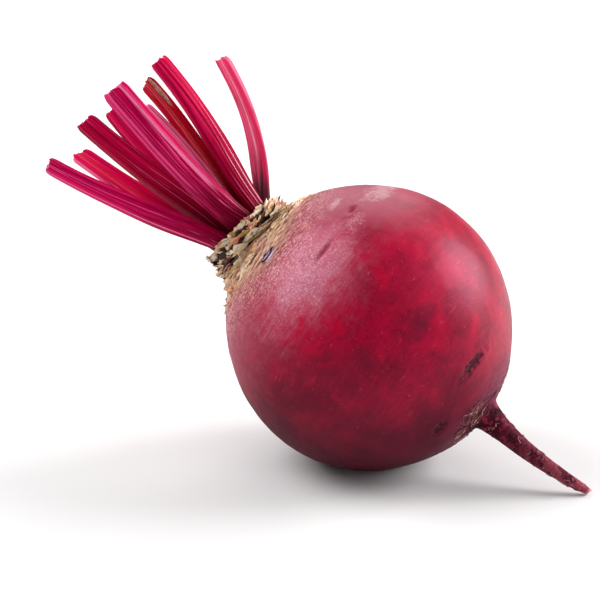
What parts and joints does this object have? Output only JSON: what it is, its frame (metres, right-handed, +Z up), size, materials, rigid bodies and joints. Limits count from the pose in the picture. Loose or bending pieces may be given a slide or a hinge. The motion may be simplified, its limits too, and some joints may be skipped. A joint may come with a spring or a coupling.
{
  "type": "beetroot",
  "caption": "Whole round red beetroot lying on its side, with its thin taproot, corky crown and the cut stubs of its leaf stalks.",
  "frame": {"origin": "middle of the small flat spot that the globe rests on, on the resting surface", "axes": "+Z up, +X the way the taproot points in plan, so the stalks lean towards -X and +Z, and +Y to the left of the taproot"},
  "size_m": [0.1562, 0.0798, 0.112],
  "materials": {
    "skin": "satin",
    "cork": "matte",
    "stalk_crimson": "satin",
    "stalk_rose": "satin",
    "stalk_pink": "satin"
  },
  "bodies": {
    "root": {"taproot": "skin", "crown": "cork", "stalk_01": "stalk_crimson", "stalk_02": "stalk_rose", "stalk_03": "stalk_crimson", "stalk_04": "stalk_crimson", "stalk_05": "stalk_crimson", "stalk_06": "stalk_pink", "stalk_07": "stalk_rose", "stalk_08": "stalk_crimson", "stalk_09": "stalk_crimson", "stalk_10": "stalk_rose", "stalk_11": "stalk_crimson"}
  },
  "joints": []
}
